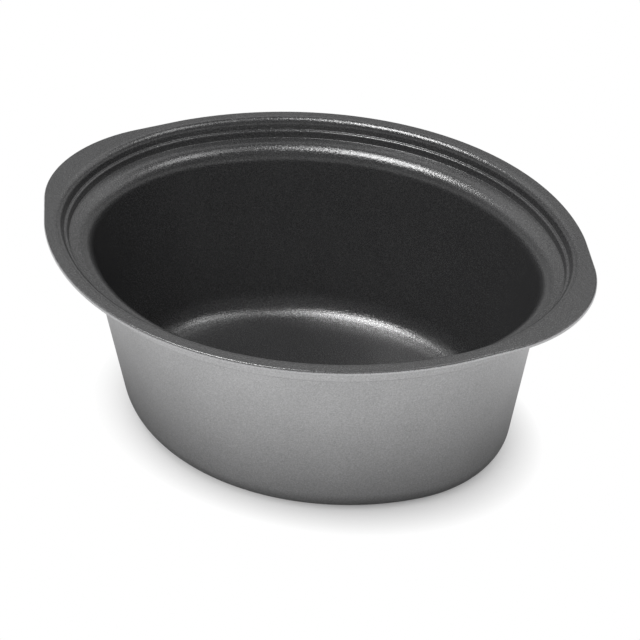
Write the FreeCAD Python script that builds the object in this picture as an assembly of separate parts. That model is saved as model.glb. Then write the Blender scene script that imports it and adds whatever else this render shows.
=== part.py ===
"""Oval cooking pan that lifts out of a slow cooker: a cast aluminium shell with two sprayed coats.

The plan is an oval of four tangent arcs. One section, swept around that oval, gives the seat for
the lid, the shoulder, the wall, the rounded floor and the foot ring. A flat flange with an ear at
each long end surrounds the mouth. Millimetres, +Z up, origin at the middle of the foot ring.
"""
import math
import os

import FreeCAD
import Part

Vector = FreeCAD.Vector
UP = Vector(0, 0, 1)

# Overall sizes
PAN_HEIGHT = 136.8
MOUTH_LENGTH = 329.0
MOUTH_WIDTH = 275.2

# Flange outline, measured outwards from the mouth
FLANGE_MARGIN = 8.5
EAR_REACH = 17.5
EAR_RUN_FACING = 36.0
EDGE_TOP_RADIUS = 1.2
EDGE_UNDER_RADIUS = 0.5

# Wall and coats
THICKNESS = 2.5
INSIDE_COAT = 0.06
OUTSIDE_COAT = 0.06

# Section of the rim and bowl, from the flange to the floor
SEAT_WALL_INSET = 1.75
SEAT_WALL_DRAFT = 12.0
SEAT_DEPTH = 7.15
SEAT_WIDTH = 1.95
STEP_DEPTH = 4.65
STEP_DRAFT = 10.0
SHOULDER_WIDTH = 13.5
SHOULDER_SLOPE = 5.0
WALL_DRAFT = 9.5
FLANGE_BEND_RADIUS = 5.0
SEAT_FOOT_RADIUS = 0.5
SEAT_EDGE_RADIUS = 1.0
STEP_FOOT_RADIUS = 0.4
RING_EDGE_RADIUS = 0.8
BOWL_EDGE_RADIUS = 11.0
FLOOR_RADIUS = 17.5

# Base: the inside floor, the foot ring with its bare ground pad, and the recess inside the ring
FLOOR_HEIGHT = 10.5
BASE_THICKNESS = 4.0
BASE_RADIUS = 20.0
PAD_HEIGHT = 0.4
FOOT_WIDTH = 10.0
FOOT_EDGE_RADIUS = 0.8
RECESS_DRAFT = 15.0
RECESS_RADIUS = 3.0

# Places that follow from the sizes above
FLANGE_UNDERSIDE = PAN_HEIGHT - THICKNESS
RECESS_HEIGHT = FLOOR_HEIGHT - BASE_THICKNESS
TOUCHING = 1e-4


def lean(degrees):
    """Sideways run for each unit of depth on a face that leans by this many degrees."""
    return math.tan(math.radians(degrees))


def polar(centre, radius, degrees):
    """Point at a distance and a direction from a centre in the plan."""
    angle = math.radians(degrees)
    return centre + Vector(radius * math.cos(angle), radius * math.sin(angle), 0)


def full_turn(end, corners, side):
    """Closed ring of arcs from those of one quarter, mirrored in both axes.

    An arc is (centre, radius, first direction, last direction). The end crosses the X axis and
    the side crosses the Y axis, so both are given whole, with the corners between them.
    """
    half_ring = [end, *corners, side]
    half_ring += [(Vector(-c.x, c.y, 0), r, 180 - b, 180 - a) for c, r, a, b in reversed(corners)]
    other_half = [(-c, r, 180 + a, 180 + b) for c, r, a, b in half_ring]
    return half_ring + other_half


def mouth_oval():
    """End arc and side arc of the mouth, which meet tangent. The ends curve as an ellipse's do."""
    half_length = MOUTH_LENGTH / 2
    half_width = MOUTH_WIDTH / 2
    end_radius = half_width**2 / half_length
    end_x = half_length - end_radius
    side_radius = (end_x**2 + half_width**2 - end_radius**2) / (2 * (half_width - end_radius))
    side_y = half_width - side_radius
    meet = math.degrees(math.atan(-side_y / end_x))
    end = (Vector(end_x, 0, 0), end_radius, -meet, meet)
    side = (Vector(0, side_y, 0), side_radius, meet, 180 - meet)
    return end, side


def mouth_arcs():
    """Four tangent arcs of the mouth: tight ends and flat sides."""
    end, side = mouth_oval()
    return full_turn(end, [], side)


def flange_arcs():
    """Arcs of the flange: the mouth's oval grown by the margin, with an ear at each end.

    A straight run joins ear and oval. Its facing sets the ear's radius, so that both are tangent.
    """
    (end_centre, end_radius, _, meet), (side_centre, side_radius, _, _) = mouth_oval()
    slant = math.cos(math.radians(EAR_RUN_FACING))
    ear_radius = end_radius + (FLANGE_MARGIN - EAR_REACH * slant) / (1 - slant)
    ear_centre = Vector(MOUTH_LENGTH / 2 + EAR_REACH - ear_radius, 0, 0)
    ear = (ear_centre, ear_radius, -EAR_RUN_FACING, EAR_RUN_FACING)
    corner = (end_centre, end_radius + FLANGE_MARGIN, EAR_RUN_FACING, meet)
    side = (side_centre, side_radius + FLANGE_MARGIN, meet, 180 - meet)
    return full_turn(ear, [corner], side)


def plate(arcs, offset, low, high):
    """Flat plate inside an outline of arcs, grown or shrunk by an offset."""
    edges = []
    for arc, following in zip(arcs, arcs[1:] + arcs[:1]):
        centre, radius, first, last = arc
        start, middle, end = [
            polar(centre, radius + offset, angle) for angle in (first, (first + last) / 2, last)]
        edges.append(Part.Arc(start, middle, end).toShape())
        run_end = polar(following[0], following[1] + offset, following[2])
        if end.distanceToPoint(run_end) > TOUCHING:
            edges.append(Part.LineSegment(end, run_end).toShape())
    face = Part.Face(Part.Wire(edges))
    face.translate(UP * low)
    return face.extrude(UP * (high - low))


def sweep(section, arcs):
    """Solids that carry a section, drawn in (outward, height), around an outline."""
    solids = []
    for arc, following in zip(arcs, arcs[1:] + arcs[:1]):
        centre, radius, first, last = arc
        blade = section.copy()
        blade.translate(centre + Vector(radius, 0, 0))
        blade.rotate(centre, UP, first)
        solids.append(blade.revolve(centre, UP, last - first))
        run = polar(*following[:3]) - polar(centre, radius, last)
        if run.Length > TOUCHING:
            blade = blade.copy()
            blade.rotate(centre, UP, last - first)
            solids.append(blade.extrude(run))
    return solids


def joined(solids):
    """One solid from pieces that meet face to face."""
    return solids[0].multiFuse(solids[1:]).removeSplitter().Solids[0]


def shifted(corners, gap):
    """The same run of corners (outward, height, radius), moved to its right by a gap.

    The rounds stay concentric, so those that turn left grow and those that turn right shrink.
    """
    steps = [(b[0] - a[0], b[1] - a[1]) for a, b in zip(corners, corners[1:])]
    ways = [(x / math.hypot(x, z), z / math.hypot(x, z)) for x, z in steps]
    moved = []
    for (u, z, radius), before, after in zip(corners, ways[:1] + ways, ways + ways[-1:]):
        together = before[0] * after[0] + before[1] * after[1]
        turns_left = before[0] * after[1] > before[1] * after[0]
        spread = gap / (1 + together)
        u_moved = u + (before[1] + after[1]) * spread
        z_moved = z - (before[0] + after[0]) * spread
        moved.append((u_moved, z_moved, radius + (gap if turns_left else -gap)))
    return moved


def rounded_run(corners):
    """Edges along a run of corners, each rounded to its own radius, in the plane y = 0."""
    points = [Vector(u, 0, z) for u, z, _ in corners]
    edges = []
    here = points[0]
    for before, corner, after, (_, _, radius) in zip(points, points[1:], points[2:], corners[1:]):
        back = (before - corner).normalize()
        onward = (after - corner).normalize()
        half = back.getAngle(onward) / 2
        start = corner + back * (radius / math.tan(half))
        end = corner + onward * (radius / math.tan(half))
        middle = corner + (back + onward).normalize() * (radius / math.sin(half) - radius)
        edges.append(Part.LineSegment(here, start).toShape())
        edges.append(Part.Arc(start, middle, end).toShape())
        here = end
    edges.append(Part.LineSegment(here, points[-1]).toShape())
    return edges


def section(*runs):
    """Face inside runs of corners that follow one another, with straight caps between them."""
    edges = []
    for run, following in zip(runs, runs[1:] + runs[:1]):
        edges += rounded_run(run)
        end = Vector(run[-1][0], 0, run[-1][1])
        start = Vector(following[0][0], 0, following[0][1])
        if end.distanceToPoint(start) > TOUCHING:
            edges.append(Part.LineSegment(end, start).toShape())
    return Part.Face(Part.Wire(edges))


def skin(run, gap):
    """Section of a coat that lies along a run of corners, to its right by a gap."""
    return section(run, shifted(run, gap)[::-1])


def bowl_run(floor, floor_radius):
    """Corners of a bowl's inside, from the flat of the flange to the start of a flat floor."""
    seat_z = PAN_HEIGHT - SEAT_DEPTH
    shoulder_z = seat_z - STEP_DEPTH
    bowl_z = shoulder_z - SHOULDER_WIDTH * lean(SHOULDER_SLOPE)
    wall_top_u = -SEAT_WALL_INSET
    seat_u = wall_top_u - SEAT_DEPTH * lean(SEAT_WALL_DRAFT)
    step_u = seat_u - SEAT_WIDTH
    shoulder_u = step_u - STEP_DEPTH * lean(STEP_DRAFT)
    bowl_u = shoulder_u - SHOULDER_WIDTH
    floor_u = bowl_u - (bowl_z - floor) * lean(WALL_DRAFT)
    bend_start = wall_top_u + FLANGE_BEND_RADIUS * lean((90 - SEAT_WALL_DRAFT) / 2)
    floor_start = floor_u - floor_radius * lean((90 - WALL_DRAFT) / 2)
    return {
        "flange": (bend_start + THICKNESS / 2, PAN_HEIGHT, 0),
        "flange bend": (wall_top_u, PAN_HEIGHT, FLANGE_BEND_RADIUS),
        "seat foot": (seat_u, seat_z, SEAT_FOOT_RADIUS),
        "seat edge": (step_u, seat_z, SEAT_EDGE_RADIUS),
        "step foot": (shoulder_u, shoulder_z, STEP_FOOT_RADIUS),
        "bowl edge": (bowl_u, bowl_z, BOWL_EDGE_RADIUS),
        "floor corner": (floor_u, floor, floor_radius),
        "floor": (floor_start, floor, 0),
    }


def ring_corner(bowl):
    """Where the seat's wall, carried straight down, meets the shoulder carried outward."""
    wall_top_u, wall_top_z, _ = bowl["flange bend"]
    shoulder_u, shoulder_z, _ = bowl["step foot"]
    wall_lean = lean(SEAT_WALL_DRAFT)
    fall = lean(SHOULDER_SLOPE)
    drop = (wall_top_z - shoulder_z - (wall_top_u - shoulder_u) * fall) / (1 - wall_lean * fall)
    return wall_top_u - drop * wall_lean, wall_top_z - drop


def outside_run():
    """Corners of the outside, from the flange to the pad of the foot ring.

    It lies one wall behind the inside. A plain ring stands behind the seat and the step, and the
    base has its own round.
    """
    base = PAD_HEIGHT + THICKNESS
    front = bowl_run(base, BASE_RADIUS - THICKNESS)
    front["floor"] = (front["floor"][0] - THICKNESS, base, 0)
    front["seat foot"] = (*ring_corner(front), RING_EDGE_RADIUS - THICKNESS)
    del front["seat edge"]
    del front["step foot"]
    return shifted(list(front.values()), -THICKNESS)


def foot_run():
    """Corners under the base, from the outer edge of the pad into the recess."""
    pad_u = outside_run()[-1][0]
    foot_u = pad_u - FOOT_WIDTH
    recess_u = foot_u - RECESS_HEIGHT * lean(RECESS_DRAFT)
    recess_start = recess_u - RECESS_RADIUS * lean((90 - RECESS_DRAFT) / 2)
    floor_start = bowl_run(FLOOR_HEIGHT, FLOOR_RADIUS)["floor"][0]
    return [
        (pad_u, 0, 0),
        (foot_u, 0, FOOT_EDGE_RADIUS),
        (recess_u, RECESS_HEIGHT, RECESS_RADIUS),
        (min(recess_start, floor_start) - THICKNESS, RECESS_HEIGHT, 0),
    ]


def inside_run():
    """Corners of the inside, from the flat of the flange to the floor above the recess."""
    bowl = bowl_run(FLOOR_HEIGHT, FLOOR_RADIUS)
    bowl["floor"] = (foot_run()[-1][0], FLOOR_HEIGHT, 0)
    return list(bowl.values())


def edge_run():
    """Corners round the edge of the flange, with the spray line in the middle of its face."""
    join = -THICKNESS
    top_radius = min(EDGE_TOP_RADIUS, THICKNESS / 2)
    under_radius = min(EDGE_UNDER_RADIUS, THICKNESS / 4)
    spray_line = (FLANGE_UNDERSIDE + under_radius + PAN_HEIGHT - top_radius) / 2
    over = [(join, PAN_HEIGHT, 0), (0, PAN_HEIGHT, top_radius), (0, spray_line, 0)]
    under = [(0, spray_line, 0), (0, FLANGE_UNDERSIDE, under_radius), (join, FLANGE_UNDERSIDE, 0)]
    return over, under


def flange_plate(low, high):
    """Flat of the flange, between the swept rim and the swept edge."""
    outer = plate(flange_arcs(), -THICKNESS, low, high)
    return outer.cut(plate(mouth_arcs(), inside_run()[0][0], low, high))


def floor_plate(low, high):
    """Flat middle of the base, inside the swept part of it."""
    return plate(mouth_arcs(), inside_run()[-1][0], low, high)


def pan_body():
    """Cast aluminium shell on a foot ring, bare under its base."""
    shell = section(inside_run(), foot_run()[::-1], outside_run()[::-1])
    solids = sweep(shell, mouth_arcs())
    solids += sweep(section(*edge_run()), flange_arcs())
    solids.append(flange_plate(FLANGE_UNDERSIDE, PAN_HEIGHT))
    solids.append(floor_plate(RECESS_HEIGHT, FLOOR_HEIGHT))
    return joined(solids)


def inside_coat():
    """Dark release coat over the inside, the flange and the top of its edge."""
    over, _ = edge_run()
    solids = sweep(skin(inside_run(), INSIDE_COAT), mouth_arcs())
    solids += sweep(skin(over, -INSIDE_COAT), flange_arcs())
    solids.append(flange_plate(PAN_HEIGHT, PAN_HEIGHT + INSIDE_COAT))
    solids.append(floor_plate(FLOOR_HEIGHT, FLOOR_HEIGHT + INSIDE_COAT))
    return joined(solids)


def outside_coat():
    """Silver-grey coat from the spray line, under the flange and down the wall to the pad."""
    _, under = edge_run()
    solids = sweep(skin(outside_run(), -OUTSIDE_COAT), mouth_arcs())
    solids += sweep(skin(under, -OUTSIDE_COAT), flange_arcs())
    solids.append(flange_plate(FLANGE_UNDERSIDE - OUTSIDE_COAT, FLANGE_UNDERSIDE))
    return joined(solids)


def main():
    os.makedirs("parts", exist_ok=True)
    for piece in (pan_body, inside_coat, outside_coat):
        piece().exportStep(f"parts/{piece.__name__}.step")


main()
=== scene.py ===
"""Looks of an oval slow cooker pan: a cast aluminium body under a dark coat and a silver coat.

One rule makes all three pieces. A section, given as stations, is carried round the oval mouth by a
node tree, and the stations on the flange follow the flange's own edge with its two ears. Metres,
+Z up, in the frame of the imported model.
"""

import math
from typing import NamedTuple

import bmesh
import bpy
from mathutils import Matrix, Vector


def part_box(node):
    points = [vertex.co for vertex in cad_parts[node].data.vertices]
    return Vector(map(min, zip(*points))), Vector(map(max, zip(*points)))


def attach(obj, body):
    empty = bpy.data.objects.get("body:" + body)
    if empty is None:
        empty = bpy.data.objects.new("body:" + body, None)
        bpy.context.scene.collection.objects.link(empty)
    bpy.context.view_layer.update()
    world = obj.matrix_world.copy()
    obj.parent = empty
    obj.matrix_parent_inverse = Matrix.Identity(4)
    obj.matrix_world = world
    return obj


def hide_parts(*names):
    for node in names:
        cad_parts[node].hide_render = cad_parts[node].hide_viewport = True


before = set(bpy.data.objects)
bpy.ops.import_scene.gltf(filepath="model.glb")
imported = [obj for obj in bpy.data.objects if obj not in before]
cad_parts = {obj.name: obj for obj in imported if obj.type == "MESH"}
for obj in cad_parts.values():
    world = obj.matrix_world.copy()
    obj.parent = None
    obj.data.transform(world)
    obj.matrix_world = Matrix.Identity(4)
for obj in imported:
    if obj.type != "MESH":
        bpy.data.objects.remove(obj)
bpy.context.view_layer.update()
BODY_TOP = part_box("pan_body")[1].z

bl_info = {
    "name": "Oval cooking pan",
    "version": (1, 0, 0),
    "blender": (4, 5, 0),
    "location": "View3D > Sidebar > Cooking pan",
    "description": "Builds an oval slow cooker pan with its two sprayed coats, and a plain stage",
    "category": "Add Mesh",
}

MM = 0.001

# How finely curves are followed
FACINGS = 224
ARC_STEP = math.radians(5)
ARC_STEPS_AT_LEAST = 7
STRAIGHT_STEP = 16 * MM
EASE = 0.3 * MM
FLOOR_SHARES = (0.9, 0.7, 0.45, 0.2, 0.0)
SHARP_EDGE = math.radians(40)
MERGE = 0.001 * MM


def length(name, description, millimetres):
    """Size in the sidebar, given here in millimetres."""
    return bpy.props.FloatProperty(
        name=name, description=description, default=millimetres * MM, unit="LENGTH", precision=5)


def slope(name, description, degrees):
    """Angle in the sidebar, given here in degrees."""
    return bpy.props.FloatProperty(
        name=name, description=description, default=math.radians(degrees), subtype="ANGLE")


def colour(name, description, level, blue=1.0):
    """Grey in the sidebar, as a linear level with a little more or less blue."""
    return bpy.props.FloatVectorProperty(
        name=name, description=description, default=(level, level, level * blue),
        subtype="COLOR", min=0, max=1)


def amount(name, description, default):
    """Plain number in the sidebar."""
    return bpy.props.FloatProperty(name=name, description=description, default=default, min=0)


class PanSizes(bpy.types.PropertyGroup):
    """Sizes that the three pieces of the pan share."""
    height: length("Height", "From the ground to the top of the flange's metal", BODY_TOP / MM)
    mouth_length: length("Mouth length", "Long axis of the oval mouth", 329.0)
    mouth_width: length("Mouth width", "Short axis of the oval mouth", 275.2)
    flange_margin: length("Flange margin", "From the mouth to the flange's edge at the sides", 8.5)
    ear_reach: length("Ear reach", "From the mouth to the tip of each ear", 17.5)
    ear_run_facing: slope("Ear run facing", "Direction that the straight run beside an ear faces", 36)
    edge_top_radius: length("Edge round", "Round on the top of the flange's edge", 1.2)
    edge_under_radius: length("Under edge round", "Round under the flange's edge", 0.5)
    thickness: length("Wall", "Thickness of the cast wall", 2.5)
    inside_coat: length("Inside coat", "Thickness of the dark coat", 0.06)
    outside_coat: length("Outside coat", "Thickness of the silver coat", 0.06)
    seat_wall_inset: length("Seat wall inset", "From the mouth to the top of the seat's wall", 1.75)
    seat_wall_draft: slope("Seat wall draft", "Lean of the wall above the lid's seat", 12)
    seat_depth: length("Seat depth", "From the flange down to the lid's seat", 7.15)
    seat_width: length("Seat width", "Width of the ledge that the lid sits on", 1.95)
    step_depth: length("Step depth", "From the lid's seat down to the shoulder", 4.65)
    step_draft: slope("Step draft", "Lean of the step below the seat", 10)
    shoulder_width: length("Shoulder width", "Width of the shoulder", 13.5)
    shoulder_slope: slope("Shoulder slope", "Fall of the shoulder towards the bowl", 5)
    wall_draft: slope("Wall draft", "Lean of the bowl's wall", 9.5)
    flange_bend_radius: length("Flange bend", "Round between flange and seat wall", 5)
    seat_foot_radius: length("Seat foot", "Round at the foot of the seat's wall", 0.5)
    seat_edge_radius: length("Seat edge", "Round on the edge of the seat", 1)
    step_foot_radius: length("Step foot", "Round at the foot of the step", 0.4)
    ring_edge_radius: length("Ring edge", "Round on the lower edge of the ring behind the seat", 0.8)
    bowl_edge_radius: length("Bowl edge", "Round from the shoulder into the bowl", 11)
    floor_radius: length("Floor round", "Round between wall and floor", 17.5)
    floor_height: length("Floor height", "From the ground to the floor inside", 10.5)
    base_thickness: length("Base", "Thickness of the base above the recess", 4)
    base_radius: length("Base round", "Round from the outside of the wall into the foot", 20)
    pad_height: length("Pad height", "Height of the bare ground pad of the foot ring", 0.4)
    foot_width: length("Foot width", "Width of the foot ring", 10)
    foot_edge_radius: length("Foot edge", "Round on the inner edge of the foot ring", 0.8)
    recess_draft: slope("Recess draft", "Lean of the recess's wall", 15)
    recess_radius: length("Recess round", "Round at the edge of the recess", 3)


class PanFinishes(bpy.types.PropertyGroup):
    """Colours and textures of the metal and the two coats."""
    dark: colour("Dark coat", "Release coat on the inside and the flange", 0.032, 1.03)
    sparkle: colour("Sparkle", "Metal flakes in the release coat", 0.21, 1.0)
    silver: colour("Silver coat", "Metallic coat on the outside", 0.475, 1.01)
    metal: colour("Bare metal", "Ground aluminium under the base", 0.72, 1.02)
    dark_roughness: amount("Dark roughness", "Gloss of the release coat, lower is glossier", 0.21)
    silver_roughness: amount("Silver roughness", "Gloss of the silver coat, lower is glossier", 0.37)
    dark_grain: length("Dark grain", "Size of the sprayed grain in the release coat", 1.2)
    silver_grain: length("Silver grain", "Size of the flake in the silver coat", 1.5)
    spray_drop: length("Spray drop", "From the top of the flange to the silver on its edge", 0.3)
    spray_spread: length("Spray spread", "How far the spray line wanders on the edge", 0.18)


class StageLights(bpy.types.PropertyGroup):
    """Strengths of the studio light."""
    overhead: amount("Overhead", "Power of the softbox above the pan, in watts", 12.5)
    second: amount("Second", "Power of the dimmer softbox above the pan, in watts", 3.0)
    fill: amount("Fill", "Power of the softbox in front of the pan, in watts", 9.0)
    ambient: amount("Ambient", "Light from all round", 0.25)


class Station(NamedTuple):
    """Point of a section: how far outward and how high, and what it follows.

    flange is 0 for a point that follows the mouth and 1 for one that follows the flange's edge.
    share shrinks the ring towards the middle of the floor.
    """
    outward: float
    height: float
    flange: float = 0.0
    share: float = 1.0


def shifted(corners, gap):
    """The same run of corners (outward, height, radius), moved to its right by a gap.

    The rounds stay concentric, so those that turn left grow and those that turn right shrink.
    """
    steps = [Vector((b[0] - a[0], b[1] - a[1])).normalized() for a, b in zip(corners, corners[1:])]
    moved = []
    for (u, z, radius), before, after in zip(corners, steps[:1] + steps, steps + steps[-1:]):
        spread = gap / (1 + before.dot(after))
        turns_left = before.x * after.y > before.y * after.x
        both = before + after
        moved.append((u + both.y * spread, z - both.x * spread, radius + (gap if turns_left else -gap)))
    return moved


def straight(start, end):
    """Points along a straight run, with one close to each end to keep the shading flat."""
    run = (end - start).length
    if run < 3 * EASE:
        return [start, end]
    parts = math.ceil(run / STRAIGHT_STEP)
    shares = [0, EASE / run, *(i / parts for i in range(1, parts)), 1 - EASE / run, 1]
    return [start.lerp(end, share) for share in shares]


def rounded(corners, flange=0.0):
    """Stations along a run of corners (outward, height, radius), each rounded to its radius."""
    points = [Vector((u, z)) for u, z, _ in corners]
    path = []
    here = points[0]
    for before, corner, after, (_, _, radius) in zip(points, points[1:], points[2:], corners[1:]):
        back = (before - corner).normalized()
        onward = (after - corner).normalized()
        half = back.angle(onward) / 2
        start = corner + back * (radius / math.tan(half))
        centre = corner + (back + onward).normalized() * (radius / math.sin(half))
        turn = (math.pi - 2 * half) * (1 if back.cross(onward) < 0 else -1)
        steps = max(ARC_STEPS_AT_LEAST, math.ceil(abs(turn) / ARC_STEP))
        path += straight(here, start)
        for step in range(1, steps + 1):
            spoke = start - centre
            spoke.rotate(Matrix.Rotation(turn * step / steps, 2))
            here = centre + spoke
            path.append(here)
    path += straight(here, points[-1])
    return [Station(p.x, p.y, flange) for p in path]


def floor_rings(outward, height):
    """Stations from the edge of a flat middle to its centre."""
    return [Station(outward, height, 0.0, share) for share in FLOOR_SHARES]


def flat_start(radius, draft):
    """How far from a corner the round between a leaning wall and a flat ends."""
    return radius * math.tan((math.pi / 2 - draft) / 2)


def bowl_corners(sizes, floor, floor_radius):
    """Corners of a bowl's inside, from the flat of the flange to the start of a flat floor."""
    seat_z = sizes.height - sizes.seat_depth
    shoulder_z = seat_z - sizes.step_depth
    bowl_z = shoulder_z - sizes.shoulder_width * math.tan(sizes.shoulder_slope)
    wall_top_u = -sizes.seat_wall_inset
    seat_u = wall_top_u - sizes.seat_depth * math.tan(sizes.seat_wall_draft)
    step_u = seat_u - sizes.seat_width
    shoulder_u = step_u - sizes.step_depth * math.tan(sizes.step_draft)
    bowl_u = shoulder_u - sizes.shoulder_width
    floor_u = bowl_u - (bowl_z - floor) * math.tan(sizes.wall_draft)
    bend_start = wall_top_u + flat_start(sizes.flange_bend_radius, sizes.seat_wall_draft)
    return {
        "flange": (bend_start + sizes.thickness / 2, sizes.height, 0),
        "flange bend": (wall_top_u, sizes.height, sizes.flange_bend_radius),
        "seat foot": (seat_u, seat_z, sizes.seat_foot_radius),
        "seat edge": (step_u, seat_z, sizes.seat_edge_radius),
        "step foot": (shoulder_u, shoulder_z, sizes.step_foot_radius),
        "bowl edge": (bowl_u, bowl_z, sizes.bowl_edge_radius),
        "floor corner": (floor_u, floor, floor_radius),
        "floor": (floor_u - flat_start(floor_radius, sizes.wall_draft), floor, 0),
    }


def ring_corner(sizes, bowl):
    """Where the seat's wall, carried straight down, meets the shoulder carried outward."""
    wall_top_u, wall_top_z, _ = bowl["flange bend"]
    shoulder_u, shoulder_z, _ = bowl["step foot"]
    lean = math.tan(sizes.seat_wall_draft)
    fall = math.tan(sizes.shoulder_slope)
    drop = (wall_top_z - shoulder_z - (wall_top_u - shoulder_u) * fall) / (1 - lean * fall)
    return wall_top_u - drop * lean, wall_top_z - drop


def outside_corners(sizes):
    """Corners of the outside, one wall behind the inside, with a plain ring behind the seat."""
    base = sizes.pad_height + sizes.thickness
    front = bowl_corners(sizes, base, sizes.base_radius - sizes.thickness)
    front["floor"] = (front["floor"][0] - sizes.thickness, base, 0)
    front["seat foot"] = (*ring_corner(sizes, front), sizes.ring_edge_radius - sizes.thickness)
    del front["seat edge"]
    del front["step foot"]
    return shifted(list(front.values()), -sizes.thickness)


def foot_corners(sizes):
    """Corners under the base, from the outer edge of the pad into the recess."""
    recess_z = sizes.floor_height - sizes.base_thickness
    pad_u = outside_corners(sizes)[-1][0]
    foot_u = pad_u - sizes.foot_width
    recess_u = foot_u - recess_z * math.tan(sizes.recess_draft)
    recess_start = recess_u - flat_start(sizes.recess_radius, sizes.recess_draft)
    floor_start = bowl_corners(sizes, sizes.floor_height, sizes.floor_radius)["floor"][0]
    return [
        (pad_u, 0, 0),
        (foot_u, 0, sizes.foot_edge_radius),
        (recess_u, recess_z, sizes.recess_radius),
        (min(recess_start, floor_start) - sizes.thickness, recess_z, 0),
    ]


def inside_corners(sizes):
    """Corners of the inside, from the flat of the flange to the floor above the recess."""
    bowl = bowl_corners(sizes, sizes.floor_height, sizes.floor_radius)
    bowl["floor"] = (foot_corners(sizes)[-1][0], sizes.floor_height, 0)
    return list(bowl.values())


def spray_line(sizes):
    """Height on the flange's edge where the two coats meet."""
    low = sizes.height - sizes.thickness
    return (low + sizes.edge_under_radius + sizes.height - sizes.edge_top_radius) / 2


def inside_face(sizes, lift=0.0):
    """Stations from the spray line over the flange and down to the middle of the floor."""
    edge = [
        (-sizes.thickness, sizes.height, 0), (0, sizes.height, sizes.edge_top_radius),
        (0, spray_line(sizes), 0)]
    inside = shifted(inside_corners(sizes), lift)
    over = rounded(shifted(edge, -lift), flange=1.0)
    return over[::-1] + rounded(inside) + floor_rings(*inside[-1][:2])


def outside_face(sizes, lift=0.0):
    """Stations from the spray line under the flange and down to the edge of the bare pad."""
    low = sizes.height - sizes.thickness
    edge = [
        (0, spray_line(sizes), 0), (0, low, sizes.edge_under_radius), (-sizes.thickness, low, 0)]
    outside = shifted(outside_corners(sizes), -lift)
    return rounded(shifted(edge, -lift), flange=1.0) + rounded(outside)


def body_section(sizes):
    """Closed ring of stations round the metal, through the middle of the floor and of the recess."""
    foot = foot_corners(sizes)
    under = floor_rings(*foot[-1][:2])[::-1] + rounded(foot[::-1])
    return inside_face(sizes) + under + outside_face(sizes)[::-1]


def inside_coat_section(sizes):
    """Closed ring of stations round the dark coat."""
    return inside_face(sizes, sizes.inside_coat) + inside_face(sizes)[::-1]


def outside_coat_section(sizes):
    """Closed ring of stations round the silver coat."""
    return outside_face(sizes) + outside_face(sizes, sizes.outside_coat)[::-1]


class Term:
    """Value in a node tree. Arithmetic on it adds Math nodes to the tree."""

    def __init__(self, tree, socket):
        self.tree = tree
        self.socket = socket

    def math(self, operation, *values):
        """Result of a Math node on the values given."""
        node = self.tree.nodes.new("ShaderNodeMath")
        node.operation = operation
        for entry, value in zip(node.inputs, values):
            if isinstance(value, Term):
                self.tree.links.new(value.socket, entry)
            else:
                entry.default_value = value
        return Term(self.tree, node.outputs[0])

    def of(self, operation):
        """Result of a Math node that takes only this value."""
        return self.math(operation, self)

    def below(self, other):
        """1 where this is less than the other value, else 0."""
        return self.math("LESS_THAN", self, other)

    def clamped(self):
        """This value held between 0 and 1."""
        result = self.math("ADD", self, 0.0)
        result.socket.node.use_clamp = True
        return result

    def __add__(self, other):
        return self.math("ADD", self, other)

    def __sub__(self, other):
        return self.math("SUBTRACT", self, other)

    def __rsub__(self, other):
        return self.math("SUBTRACT", other, self)

    def __mul__(self, other):
        return self.math("MULTIPLY", self, other)

    def __truediv__(self, other):
        return self.math("DIVIDE", self, other)

    def __rtruediv__(self, other):
        return self.math("DIVIDE", other, self)

    __radd__ = __add__
    __rmul__ = __mul__


def pick(condition, yes, no):
    """One value where the condition is 1 and the other where it is 0."""
    return no + condition * (yes - no)


def link(tree, source, entry):
    """Connects a term or a socket to an entry of a node."""
    tree.links.new(source.socket if isinstance(source, Term) else source, entry)


EDGE_MARK = "flange_edge"
SWEEP_SIZES = ("Mouth Length", "Mouth Width", "Flange Margin", "Ear Reach", "Ear Run Facing")


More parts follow.
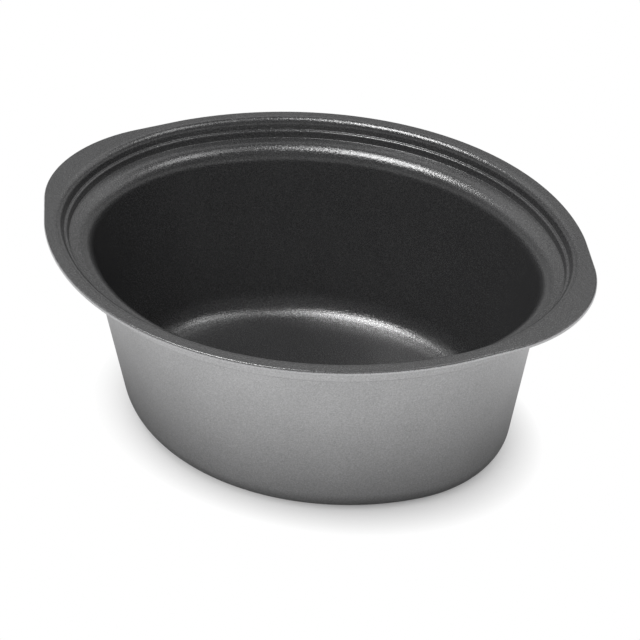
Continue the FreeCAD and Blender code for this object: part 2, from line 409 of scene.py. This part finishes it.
def sweep_tree():
    """Node tree that carries a section round the oval mouth and the eared flange.

    Every point of a ring has its own facing. The oval's arcs and the ears are all met straight
    out along that facing, so a station only adds its own distance.
    """
    tree = bpy.data.node_groups.new("Carry section round the pan", "GeometryNodeTree")
    face = tree.interface
    face.new_socket("Geometry", in_out="INPUT", socket_type="NodeSocketGeometry")
    for name in SWEEP_SIZES:
        face.new_socket(name, in_out="INPUT", socket_type="NodeSocketFloat")
    face.new_socket("Facings", in_out="INPUT", socket_type="NodeSocketInt")
    face.new_socket("Material", in_out="INPUT", socket_type="NodeSocketMaterial")
    face.new_socket("Geometry", in_out="OUTPUT", socket_type="NodeSocketGeometry")
    given = tree.nodes.new("NodeGroupInput").outputs
    mouth_length, mouth_width, margin, ear_reach, run = [Term(tree, given[n]) for n in SWEEP_SIZES]
    facings = Term(tree, given["Facings"])

    count = tree.nodes.new("GeometryNodeAttributeDomainSize")
    link(tree, given["Geometry"], count.inputs["Geometry"])
    stations = Term(tree, count.outputs["Point Count"])
    grid = tree.nodes.new("GeometryNodeMeshGrid")
    link(tree, facings + 1, grid.inputs["Vertices X"])
    link(tree, stations, grid.inputs["Vertices Y"])
    index = Term(tree, tree.nodes.new("GeometryNodeInputIndex").outputs[0])
    column = ((index + 0.5) / stations).of("FLOOR")
    row = index - column * stations

    def station_value(name):
        """Value of this point's station."""
        attribute = tree.nodes.new("GeometryNodeInputNamedAttribute")
        attribute.data_type = "FLOAT"
        attribute.inputs["Name"].default_value = name
        sample = tree.nodes.new("GeometryNodeSampleIndex")
        sample.data_type = "FLOAT"
        sample.domain = "POINT"
        link(tree, given["Geometry"], sample.inputs["Geometry"])
        link(tree, attribute.outputs["Attribute"], sample.inputs["Value"])
        link(tree, row, sample.inputs["Index"])
        return Term(tree, sample.outputs["Value"])

    outward, height, flange, share = [station_value(name) for name in Station._fields]

    # Four tangent arcs of the mouth, whose ends curve as an ellipse's do
    half_length = mouth_length * 0.5
    half_width = mouth_width * 0.5
    end_radius = half_width * half_width / half_length
    end_x = half_length - end_radius
    spare = half_width - end_radius
    side_radius = (end_x * end_x + spare * (half_width + end_radius)) / (spare * 2)
    side_y = half_width - side_radius
    facing = column * math.tau / facings
    along = facing.of("COSINE")
    across = facing.of("SINE")
    along_size = along.of("ABSOLUTE")
    across_size = across.of("ABSOLUTE")
    at_end = (across_size * end_x).below(along_size * (0 - side_y))
    radius = pick(at_end, end_radius, side_radius)
    centre_x = at_end * along.of("SIGN") * end_x
    centre_y = (1 - at_end) * across.of("SIGN") * side_y

    # Distance from the mouth to the flange's edge: an ear, a straight run, then the margin
    slant = run.of("COSINE")
    rise = run.of("SINE")
    ear_radius = end_radius + (margin - ear_reach * slant) / (1 - slant)
    ear_shift = half_length + ear_reach - ear_radius - end_x
    sideways = ear_shift * across_size
    to_ear = ear_shift * along_size + (ear_radius * ear_radius - sideways * sideways).of("SQRT")
    turned = along_size * slant + across_size * rise
    to_run = (end_radius + margin) / turned
    on_ear = (across_size * (ear_shift + ear_radius * slant)).below(along_size * ear_radius * rise)
    before_oval = (across_size * slant).below(along_size * rise)
    reach = pick(before_oval, pick(on_ear, to_ear, to_run) - end_radius, margin)

    distance = radius + outward + flange * reach
    place = tree.nodes.new("ShaderNodeCombineXYZ")
    link(tree, (centre_x + distance * along) * share, place.inputs["X"])
    link(tree, (centre_y + distance * across) * share, place.inputs["Y"])
    link(tree, height, place.inputs["Z"])

    marked = tree.nodes.new("GeometryNodeStoreNamedAttribute")
    marked.data_type = "FLOAT"
    marked.domain = "POINT"
    marked.inputs["Name"].default_value = EDGE_MARK
    link(tree, grid.outputs["Mesh"], marked.inputs["Geometry"])
    link(tree, flange, marked.inputs["Value"])
    moved = tree.nodes.new("GeometryNodeSetPosition")
    link(tree, marked.outputs["Geometry"], moved.inputs["Geometry"])
    link(tree, place.outputs[0], moved.inputs["Position"])
    closed = tree.nodes.new("GeometryNodeMergeByDistance")
    closed.inputs["Distance"].default_value = MERGE
    link(tree, moved.outputs["Geometry"], closed.inputs["Geometry"])
    faces_beside = Term(tree, tree.nodes.new("GeometryNodeInputMeshEdgeNeighbors").outputs["Face Count"])
    trimmed = tree.nodes.new("GeometryNodeDeleteGeometry")
    trimmed.domain = "EDGE"
    trimmed.mode = "EDGE_FACE"
    link(tree, closed.outputs["Geometry"], trimmed.inputs["Geometry"])
    link(tree, faces_beside.below(0.5), trimmed.inputs["Selection"])
    smooth = tree.nodes.new("GeometryNodeSetShadeSmooth")
    smooth.domain = "EDGE"
    edge_angle = Term(tree, tree.nodes.new("GeometryNodeInputMeshEdgeAngle").outputs["Unsigned Angle"])
    link(tree, edge_angle.below(SHARP_EDGE), smooth.inputs["Shade Smooth"])
    link(tree, trimmed.outputs["Geometry"], smooth.inputs["Geometry"])
    realized = tree.nodes.new("GeometryNodeRealizeInstances")
    link(tree, smooth.outputs["Geometry"], realized.inputs["Geometry"])
    finished = tree.nodes.new("GeometryNodeSetMaterial")
    link(tree, realized.outputs["Geometry"], finished.inputs["Geometry"])
    link(tree, given["Material"], finished.inputs["Material"])
    link(tree, finished.outputs["Geometry"], tree.nodes.new("NodeGroupOutput").inputs["Geometry"])
    return tree


def section_mesh(name, stations):
    """Line of stations that a node tree can read, closed on its first station."""
    ring = [*stations, stations[0]]
    mesh = bpy.data.meshes.new(name)
    mesh.from_pydata([(s.outward, 0, s.height) for s in ring], [], [])
    for field in Station._fields:
        values = [getattr(station, field) for station in ring]
        mesh.attributes.new(field, "FLOAT", "POINT").data.foreach_set("value", values)
    return mesh


def sweep(name, stations, material, sizes):
    """Plain mesh object made by carrying a section round the pan."""
    tree = bpy.data.node_groups.get("Carry section round the pan") or sweep_tree()
    line = bpy.data.objects.new(f"{name}_section", section_mesh(f"{name}_section", stations))
    bpy.context.scene.collection.objects.link(line)
    modifier = line.modifiers.new("Carry section", "NODES")
    modifier.node_group = tree
    values = {
        "Mouth Length": sizes.mouth_length,
        "Mouth Width": sizes.mouth_width,
        "Flange Margin": sizes.flange_margin,
        "Ear Reach": sizes.ear_reach,
        "Ear Run Facing": sizes.ear_run_facing,
        "Facings": FACINGS,
        "Material": material,
    }
    for entry in tree.interface.items_tree:
        if entry.in_out == "INPUT" and entry.name in values:
            modifier[entry.identifier] = values[entry.name]
    evaluated = line.evaluated_get(bpy.context.evaluated_depsgraph_get())
    mesh = bpy.data.meshes.new_from_object(evaluated)
    bpy.data.objects.remove(line)
    turn_outward(name, mesh)
    piece = bpy.data.objects.new(name, mesh)
    bpy.context.scene.collection.objects.link(piece)
    return piece


def turn_outward(name, mesh):
    """Turns the faces of a closed mesh outward, and refuses a mesh that isn't closed."""
    work = bmesh.new()
    work.from_mesh(mesh)
    if any(not edge.is_manifold for edge in work.edges):
        raise RuntimeError(f"{name} isn't a closed mesh")
    if work.calc_volume(signed=True) < 0:
        bmesh.ops.reverse_faces(work, faces=work.faces)
        work.to_mesh(mesh)
    work.free()


def object_position(tree):
    """Socket with the position on the piece, in metres."""
    return tree.nodes.new("ShaderNodeTexCoord").outputs["Object"]


def noise(tree, position, scale, detail=2.0, roughness=0.5):
    """Noise of a given scale, as a term from about 0 to 1."""
    node = tree.nodes.new("ShaderNodeTexNoise")
    node.inputs["Detail"].default_value = detail
    node.inputs["Roughness"].default_value = roughness
    if isinstance(scale, Term):
        link(tree, scale, node.inputs["Scale"])
    else:
        node.inputs["Scale"].default_value = scale
    link(tree, position, node.inputs["Vector"])
    return Term(tree, node.outputs["Fac"])


def shader_group(name, inputs, outputs):
    """Empty shader node group, its float entries as terms and the sockets of its results."""
    tree = bpy.data.node_groups.new(name, "ShaderNodeTree")
    for entry in inputs:
        tree.interface.new_socket(entry, in_out="INPUT", socket_type="NodeSocketFloat")
    for result in outputs:
        tree.interface.new_socket(result, in_out="OUTPUT", socket_type="NodeSocketFloat")
    given = tree.nodes.new("NodeGroupInput").outputs
    entries = [Term(tree, given[entry]) for entry in inputs]
    return tree, entries, tree.nodes.new("NodeGroupOutput").inputs


# Grain of a sprayed coat, as how often each part of it repeats in one droplet
FINE_REPEAT = 2.7
FLAKE_REPEAT = 1.7
MOTTLE_REPEAT = 0.045
FINE_SHARE = 0.3
FLAKE_FROM = 0.35
FLAKE_GAIN = 3.0
FLAKE_SHARE = 0.7

# Ragged line where the sprays meet, with repeats in each metre
WANDER_REPEAT = 260.0
SPECKLE_REPEAT = 1500.0
WANDER_REACH = 1.6
SPECKLE_REACH = 2.6
SPRAY_BLUR = 0.35 * MM

# Dark coat
DARK_TONES = (0.7, 1.3)
DARK_IOR = 1.8
DARK_RELIEF = 0.16 * MM
DARK_ROUGHNESS_RANGE = 0.08
SPARKLE_FROM = 0.55
SPARKLE_GAIN = 9.0

# Silver coat
SILVER_TONES = (0.72, 1.28)
SILVER_METALLIC = 0.9
SILVER_RELIEF = 0.06 * MM
SILVER_ROUGHNESS_RANGE = 0.12

# Bare metal
METAL_TONES = (0.78, 1.1)
METAL_RELIEF = 0.012 * MM
METAL_ROUGHNESS_FROM = 0.22
METAL_ROUGHNESS_RANGE = 0.25
SCRATCH_REPEAT = (12.0, 900.0, 900.0)
SCRATCH_FROM = 0.3
SCRATCH_GAIN = 2.5


def sprayed_grain_group():
    """Texture of a sprayed and baked coat: droplets, finer pebbling, flake and slow mottling."""
    tree, (grain, fine_share), results = shader_group(
        "Sprayed grain", ("Grain", "Fine Share"), ("Height", "Flake", "Mottle"))
    position = object_position(tree)
    droplets = noise(tree, position, 1.0 / grain)
    fine = noise(tree, position, FINE_REPEAT / grain, detail=1.0)
    flake = noise(tree, position, FLAKE_REPEAT / grain, detail=3.0, roughness=0.7)
    mottle = noise(tree, position, MOTTLE_REPEAT / grain, detail=3.0)
    link(tree, droplets + fine * fine_share, results["Height"])
    link(tree, flake, results["Flake"])
    link(tree, mottle, results["Mottle"])
    return tree


def spray_line_group():
    """Ragged line on the flange's edge: 1 on the dark side of it and 0 on the silver side."""
    tree, (line, spread), results = shader_group("Spray line", ("Line Height", "Spread"), ("Dark",))
    position = object_position(tree)
    parts = tree.nodes.new("ShaderNodeSeparateXYZ")
    link(tree, position, parts.inputs[0])
    height = Term(tree, parts.outputs["Z"])
    wander = noise(tree, position, WANDER_REPEAT, detail=1.0) - 0.5
    speckle = noise(tree, position, SPECKLE_REPEAT, detail=2.0, roughness=0.7) - 0.5
    offset = (wander * WANDER_REACH + speckle * SPECKLE_REACH) * spread
    link(tree, ((height + offset - line) / SPRAY_BLUR + 0.5).clamped(), results["Dark"])
    return tree


def group_node(tree, name, build, **values):
    """Places a shared node group in a material, with its own values."""
    node = tree.nodes.new("ShaderNodeGroup")
    node.node_tree = bpy.data.node_groups.get(name) or build()
    for entry, value in values.items():
        node.inputs[entry.replace("_", " ").title()].default_value = value
    return {result.name: Term(tree, result) for result in node.outputs}


def new_material(name):
    """Material with a Principled shader, and its tree and shader."""
    material = bpy.data.materials.new(name)
    material.use_nodes = True
    return material, material.node_tree, material.node_tree.nodes["Principled BSDF"]


def mixed_colour(tree, factor, first, second):
    """Colour between two, which are plain colours or sockets."""
    node = tree.nodes.new("ShaderNodeMix")
    node.data_type = "RGBA"
    link(tree, factor, node.inputs["Factor"])
    entries = [entry for entry in node.inputs if entry.type == "RGBA"]
    for entry, value in zip(entries, (first, second)):
        if isinstance(value, bpy.types.NodeSocket):
            link(tree, value, entry)
        else:
            entry.default_value = (*value, 1.0)
    return next(result for result in node.outputs if result.type == "RGBA")


def bump(tree, shader, height, depth):
    """Small relief on a shader's normal."""
    node = tree.nodes.new("ShaderNodeBump")
    node.inputs["Strength"].default_value = 1.0
    node.inputs["Distance"].default_value = depth
    link(tree, height, node.inputs["Height"])
    link(tree, node.outputs["Normal"], shader.inputs["Normal"])


def tones(shade, factors):
    """The tones of a colour that its grain runs between."""
    return [tuple(channel * factor for channel in shade) for factor in factors]


def coat_colours(tree, grain, dark, finishes):
    """Colour of the two coats with their flake and mottling, where dark is 1 on the dark coat."""
    flake = ((grain["Flake"] - FLAKE_FROM) * FLAKE_GAIN).clamped()
    tone = (flake * FLAKE_SHARE + grain["Mottle"] * (1 - FLAKE_SHARE)).clamped()
    black = mixed_colour(tree, tone, *tones(finishes.dark, DARK_TONES))
    silver = mixed_colour(tree, tone, *tones(finishes.silver, SILVER_TONES))
    return mixed_colour(tree, dark, silver, black)


def spray_on_edge(tree, sizes, finishes):
    """1 above the painted spray line, and the mark of the flange's edge.

    The painted line lies higher than the joint of the two coats.
    """
    line = group_node(
        tree, "Spray line", spray_line_group,
        line_height=sizes.height - finishes.spray_drop, spread=finishes.spray_spread)
    mark = tree.nodes.new("ShaderNodeAttribute")
    mark.attribute_name = EDGE_MARK
    return line["Dark"], Term(tree, mark.outputs["Fac"])


def dark_coat_material(sizes, finishes):
    """Dark satin release coat with grain and sparkle, and silver below the painted spray line."""
    material, tree, shader = new_material("Dark release coat")
    grain = group_node(
        tree, "Sprayed grain", sprayed_grain_group, grain=finishes.dark_grain, fine_share=FINE_SHARE)
    above_line, on_edge = spray_on_edge(tree, sizes, finishes)
    dark = 1 - on_edge * (1 - above_line)
    sparkle = ((grain["Flake"] - SPARKLE_FROM) * SPARKLE_GAIN).clamped()
    coats = coat_colours(tree, grain, dark, finishes)
    link(tree, mixed_colour(tree, sparkle, coats, finishes.sparkle), shader.inputs["Base Color"])
    link(tree, (1 - dark * (1 - sparkle)) * SILVER_METALLIC, shader.inputs["Metallic"])
    smoothest = finishes.dark_roughness - DARK_ROUGHNESS_RANGE / 2
    link(tree, grain["Mottle"] * DARK_ROUGHNESS_RANGE + smoothest, shader.inputs["Roughness"])
    shader.inputs["IOR"].default_value = DARK_IOR
    bump(tree, shader, grain["Height"], DARK_RELIEF)
    return material


def silver_coat_material(sizes, finishes):
    """Silver-grey metallic coat with fine flake, and dark specks along the spray line."""
    material, tree, shader = new_material("Silver coat")
    grain = group_node(
        tree, "Sprayed grain", sprayed_grain_group, grain=finishes.silver_grain, fine_share=FINE_SHARE)
    above_line, on_edge = spray_on_edge(tree, sizes, finishes)
    dark = on_edge * above_line
    link(tree, coat_colours(tree, grain, dark, finishes), shader.inputs["Base Color"])
    link(tree, (1 - dark) * SILVER_METALLIC, shader.inputs["Metallic"])
    smoothest = finishes.silver_roughness - SILVER_ROUGHNESS_RANGE / 2
    link(tree, grain["Flake"] * SILVER_ROUGHNESS_RANGE + smoothest, shader.inputs["Roughness"])
    bump(tree, shader, grain["Height"], SILVER_RELIEF)
    return material


def bare_metal_material(finishes):
    """Aluminium ground flat along the pan, with fine straight scratches."""
    material, tree, shader = new_material("Ground aluminium")
    along = tree.nodes.new("ShaderNodeMapping")
    along.inputs["Scale"].default_value = SCRATCH_REPEAT
    link(tree, object_position(tree), along.inputs["Vector"])
    scratches = noise(tree, along.outputs["Vector"], 1.0, detail=4.0, roughness=0.65)
    tone = ((scratches - SCRATCH_FROM) * SCRATCH_GAIN).clamped()
    shade = mixed_colour(tree, tone, *tones(finishes.metal, METAL_TONES))
    link(tree, shade, shader.inputs["Base Color"])
    shader.inputs["Metallic"].default_value = 1.0
    roughness = scratches * METAL_ROUGHNESS_RANGE + METAL_ROUGHNESS_FROM
    link(tree, roughness, shader.inputs["Roughness"])
    bump(tree, shader, scratches, METAL_RELIEF)
    return material


def hand_over(piece, node):
    """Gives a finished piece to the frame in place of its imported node."""
    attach(piece, "root")
    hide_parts(node)


class MakeBody(bpy.types.Operator):
    """Makes the cast aluminium body, bare under its base"""
    bl_idname = "cooking_pan.make_body"
    bl_label = "Cast body"

    def execute(self, context):
        sizes = context.scene.pan_sizes
        material = bare_metal_material(context.scene.pan_finishes)
        piece = sweep("cast_body", body_section(sizes), material, sizes)
        hand_over(piece, "pan_body")
        return {"FINISHED"}


class MakeInsideCoat(bpy.types.Operator):
    """Makes the dark release coat over the inside and the flange"""
    bl_idname = "cooking_pan.make_inside_coat"
    bl_label = "Inside coat"

    def execute(self, context):
        sizes = context.scene.pan_sizes
        material = dark_coat_material(sizes, context.scene.pan_finishes)
        piece = sweep("dark_coat", inside_coat_section(sizes), material, sizes)
        hand_over(piece, "inside_coat")
        return {"FINISHED"}


class MakeOutsideCoat(bpy.types.Operator):
    """Makes the silver coat under the flange and down the wall"""
    bl_idname = "cooking_pan.make_outside_coat"
    bl_label = "Outside coat"

    def execute(self, context):
        sizes = context.scene.pan_sizes
        material = silver_coat_material(sizes, context.scene.pan_finishes)
        piece = sweep("silver_coat", outside_coat_section(sizes), material, sizes)
        hand_over(piece, "outside_coat")
        return {"FINISHED"}


# Camera, as the photograph was taken
VIEW_AZIMUTH = math.radians(31.38)
VIEW_ELEVATION = math.radians(33.46)
VIEW_ROLL = math.radians(-0.47)
VIEW_DISTANCE = 1.5534
VIEW_FOCAL_LENGTH = 140.0
VIEW_AIM = Vector((0, 0, 0.07))
IMAGE_SIZE = 640
AIM_PIXEL = (313.7, 322.4)


def sky_heights(low, high):
    """Two elevations in degrees, as heights on a sky of radius 1."""
    return math.sin(math.radians(low)), math.sin(math.radians(high))


# Studio. The floor's ranges count in half sizes of the foot ring, from the middle.
FLOOR_SIZE = 12.0
FLOOR_DROP = 0.05 * MM
FLOOR_LEVEL = 0.95
FLOOR_WHITE_NEAR = 0.10
FLOOR_WHITE_SEEN = (1.05, 1.42)
# Seen in gloss, the floor's painted shadow round the foot fades to white over this range, and painted
# light lies under the base
FLOOR_PAINTED_SHADOW_MIRRORED = (1.06, 2.55)
UNDER_BASE_PAINTED_LIGHT = 0.6
HORIZON_SKY = 0.55
DIM_SKY = 0.06
SKY_BAND = 0.94
SKY_FALL = sky_heights(13, 25)
SKY_BAND_FOOT = sky_heights(27, 36)
SKY_BAND_TOP = sky_heights(46, 60)
SKY_BAND_SIDE = (-0.1, 0.3)
OVERHEAD_PLACE = Vector((-0.46, -0.18, 1.37))
OVERHEAD_SIZE = (0.52, 0.52)
SECOND_PLACE = Vector((0.36, 0.28, 1.38))
SECOND_SIZE = (0.50, 0.50)
FILL_PLACE = Vector((0.45, -1.05, 1.0))
FILL_SIZE = (1.2, 1.0)


def ray_kind(tree, *kinds):
    """1 for rays of the kinds named, such as those that the camera sends, else 0."""
    path = tree.nodes.new("ShaderNodeLightPath").outputs
    return sum(Term(tree, path[f"Is {kind} Ray"]) for kind in kinds).clamped()


def rising(value, low, high):
    """0 up to a low value, 1 from a high one, and straight between them."""
    return ((value - low) / (high - low)).clamped()


def foot_half_sizes(sizes):
    """Half of the length and of the width of the foot ring."""
    pad_u = foot_corners(sizes)[0][0]
    return sizes.mouth_length / 2 + pad_u, sizes.mouth_width / 2 + pad_u


def feet_away(tree, sizes):
    """How far a point of the floor lies from the middle, where 1 is about the foot ring's outline."""
    shares = tree.nodes.new("ShaderNodeVectorMath")
    shares.operation = "DIVIDE"
    shares.inputs[1].default_value = (*foot_half_sizes(sizes), 1.0)
    link(tree, object_position(tree), shares.inputs[0])
    measure = tree.nodes.new("ShaderNodeVectorMath")
    measure.operation = "LENGTH"
    link(tree, shares.outputs["Vector"], measure.inputs[0])
    return Term(tree, measure.outputs["Value"])


def make_floor(sizes):
    """Plain floor that turns white away from the pan's foot and keeps its shadow near it.

    In gloss the floor shows painted shade and light: a painted shadow round the foot that turns white
    further out, and a painted glow inside the foot's outline. From below it is clear, and the base
    mirrors that painted glow, to show it.
    """
    mesh = bpy.data.meshes.new("floor")
    half = FLOOR_SIZE / 2
    corners = [(-half, -half), (half, -half), (half, half), (-half, half)]
    mesh.from_pydata([(x, y, -FLOOR_DROP) for x, y in corners], [], [(0, 1, 2, 3)])
    floor = bpy.data.objects.new("floor", mesh)
    bpy.context.scene.collection.objects.link(floor)
    material, tree, shader = new_material("White floor")
    shader.inputs["Base Color"].default_value = (FLOOR_LEVEL, FLOOR_LEVEL, FLOOR_LEVEL, 1)
    shader.inputs["Roughness"].default_value = 1.0
    shader.inputs["Specular IOR Level"].default_value = 0.0
    by_camera = ray_kind(tree, "Camera")
    away = feet_away(tree, sizes)
    seen = pick(rising(away, *FLOOR_WHITE_SEEN), 1.0, FLOOR_WHITE_NEAR)
    share = by_camera * seen + ray_kind(tree, "Glossy", "Transmission")
    white = tree.nodes.new("ShaderNodeEmission")
    # Painted shadow round the foot and painted light under the base, which gloss sees in place of the
    # lit floor
    painted_shadow_and_light = rising(away, *FLOOR_PAINTED_SHADOW_MIRRORED) + away.below(1.0) * UNDER_BASE_PAINTED_LIGHT
    link(tree, pick(by_camera, 1.0, painted_shadow_and_light), white.inputs["Strength"])
    lit = tree.nodes.new("ShaderNodeMixShader")
    link(tree, share, lit.inputs[0])
    link(tree, shader.outputs[0], lit.inputs[1])
    link(tree, white.outputs[0], lit.inputs[2])
    one_sided = tree.nodes.new("ShaderNodeMixShader")
    link(tree, tree.nodes.new("ShaderNodeNewGeometry").outputs["Backfacing"], one_sided.inputs[0])
    link(tree, lit.outputs[0], one_sided.inputs[1])
    link(tree, tree.nodes.new("ShaderNodeBsdfTransparent").outputs[0], one_sided.inputs[2])
    link(tree, one_sided.outputs[0], tree.nodes["Material Output"].inputs["Surface"])
    mesh.materials.append(material)


def make_world(ambient):
    """Soft light from all round, which the camera sees as white.

    Mirrored, it is a dim sky with one bright band behind the pan.
    """
    world = bpy.data.worlds.new("Studio")
    world.use_nodes = True
    tree = world.node_tree
    parts = tree.nodes.new("ShaderNodeSeparateXYZ")
    link(tree, tree.nodes.new("ShaderNodeTexCoord").outputs["Generated"], parts.inputs[0])
    height = Term(tree, parts.outputs["Z"])
    lower_sky = pick(rising(height, *SKY_FALL), DIM_SKY, HORIZON_SKY)
    behind = Term(tree, parts.outputs["Y"]) * math.cos(VIEW_AZIMUTH)
    behind -= Term(tree, parts.outputs["X"]) * math.sin(VIEW_AZIMUTH)
    band = rising(height, *SKY_BAND_FOOT) * (1 - rising(height, *SKY_BAND_TOP))
    sky = lower_sky + band * rising(behind, *SKY_BAND_SIDE) * SKY_BAND
    mirrored = pick(ray_kind(tree, "Glossy", "Transmission"), sky, ambient)
    strength = pick(ray_kind(tree, "Camera"), 1.0, mirrored)
    background = tree.nodes["Background"]
    background.inputs["Color"].default_value = (1, 1, 1, 1)
    link(tree, strength, background.inputs["Strength"])
    bpy.context.scene.world = world


def make_softbox(name, place, size, power, mirrored):
    """Rectangular softbox that faces the pan, and shows in gloss or only lights."""
    lamp = bpy.data.lights.new(name, "AREA")
    lamp.shape = "RECTANGLE"
    lamp.size, lamp.size_y = size
    lamp.energy = power
    softbox = bpy.data.objects.new(name, lamp)
    softbox.location = place
    softbox.rotation_euler = (place - VIEW_AIM).to_track_quat("Z", "Y").to_euler()
    softbox.visible_glossy = mirrored
    bpy.context.scene.collection.objects.link(softbox)


def make_camera():
    """Camera at the photograph's place, with its slight roll."""
    level = math.cos(VIEW_ELEVATION)
    back = Vector((
        math.sin(VIEW_AZIMUTH) * level, -math.cos(VIEW_AZIMUTH) * level, math.sin(VIEW_ELEVATION)))
    right = Vector((math.cos(VIEW_AZIMUTH), math.sin(VIEW_AZIMUTH), 0))
    turned = Matrix((right, back.cross(right), back)).transposed() @ Matrix.Rotation(VIEW_ROLL, 3, "Z")
    lens = bpy.data.cameras.new("Camera")
    lens.lens = VIEW_FOCAL_LENGTH
    lens.shift_x = (IMAGE_SIZE / 2 - AIM_PIXEL[0]) / IMAGE_SIZE
    lens.shift_y = (AIM_PIXEL[1] - IMAGE_SIZE / 2) / IMAGE_SIZE
    camera = bpy.data.objects.new("Camera", lens)
    camera.location = VIEW_AIM + back * VIEW_DISTANCE
    camera.rotation_euler = turned.to_euler()
    bpy.context.scene.collection.objects.link(camera)
    bpy.context.scene.camera = camera


class MakeStage(bpy.types.Operator):
    """Makes the white floor, the soft studio light and the camera"""
    bl_idname = "cooking_pan.make_stage"
    bl_label = "Stage"

    def execute(self, context):
        lights = context.scene.pan_lights
        make_floor(context.scene.pan_sizes)
        make_world(lights.ambient)
        make_softbox("Overhead softbox", OVERHEAD_PLACE, OVERHEAD_SIZE, lights.overhead, mirrored=True)
        make_softbox("Second softbox", SECOND_PLACE, SECOND_SIZE, lights.second, mirrored=True)
        make_softbox("Fill softbox", FILL_PLACE, FILL_SIZE, lights.fill, mirrored=False)
        make_camera()
        context.scene.view_settings.view_transform = "Standard"
        return {"FINISHED"}


OPERATORS = (MakeBody, MakeInsideCoat, MakeOutsideCoat, MakeStage)
SETTINGS = {"pan_sizes": PanSizes, "pan_finishes": PanFinishes, "pan_lights": StageLights}


class PanPanel(bpy.types.Panel):
    """Sidebar with the pan's sizes, finishes and steps"""
    bl_idname = "VIEW3D_PT_cooking_pan"
    bl_label = "Oval cooking pan"
    bl_space_type = "VIEW_3D"
    bl_region_type = "UI"
    bl_category = "Cooking pan"

    def draw(self, context):
        for name, group in SETTINGS.items():
            box = self.layout.box()
            for setting in group.__annotations__:
                box.prop(getattr(context.scene, name), setting)
        for operator in OPERATORS:
            self.layout.operator(operator.bl_idname)


CLASSES = (*SETTINGS.values(), *OPERATORS, PanPanel)


def register():
    for item in CLASSES:
        bpy.utils.register_class(item)
    for name, group in SETTINGS.items():
        setattr(bpy.types.Scene, name, bpy.props.PointerProperty(type=group))


def unregister():
    for name in SETTINGS:
        delattr(bpy.types.Scene, name)
    for item in reversed(CLASSES):
        bpy.utils.unregister_class(item)


def main():
    register()
    bpy.ops.cooking_pan.make_body()
    bpy.ops.cooking_pan.make_inside_coat()
    bpy.ops.cooking_pan.make_outside_coat()
    bpy.ops.cooking_pan.make_stage()


if __name__ == "__main__":
    main()
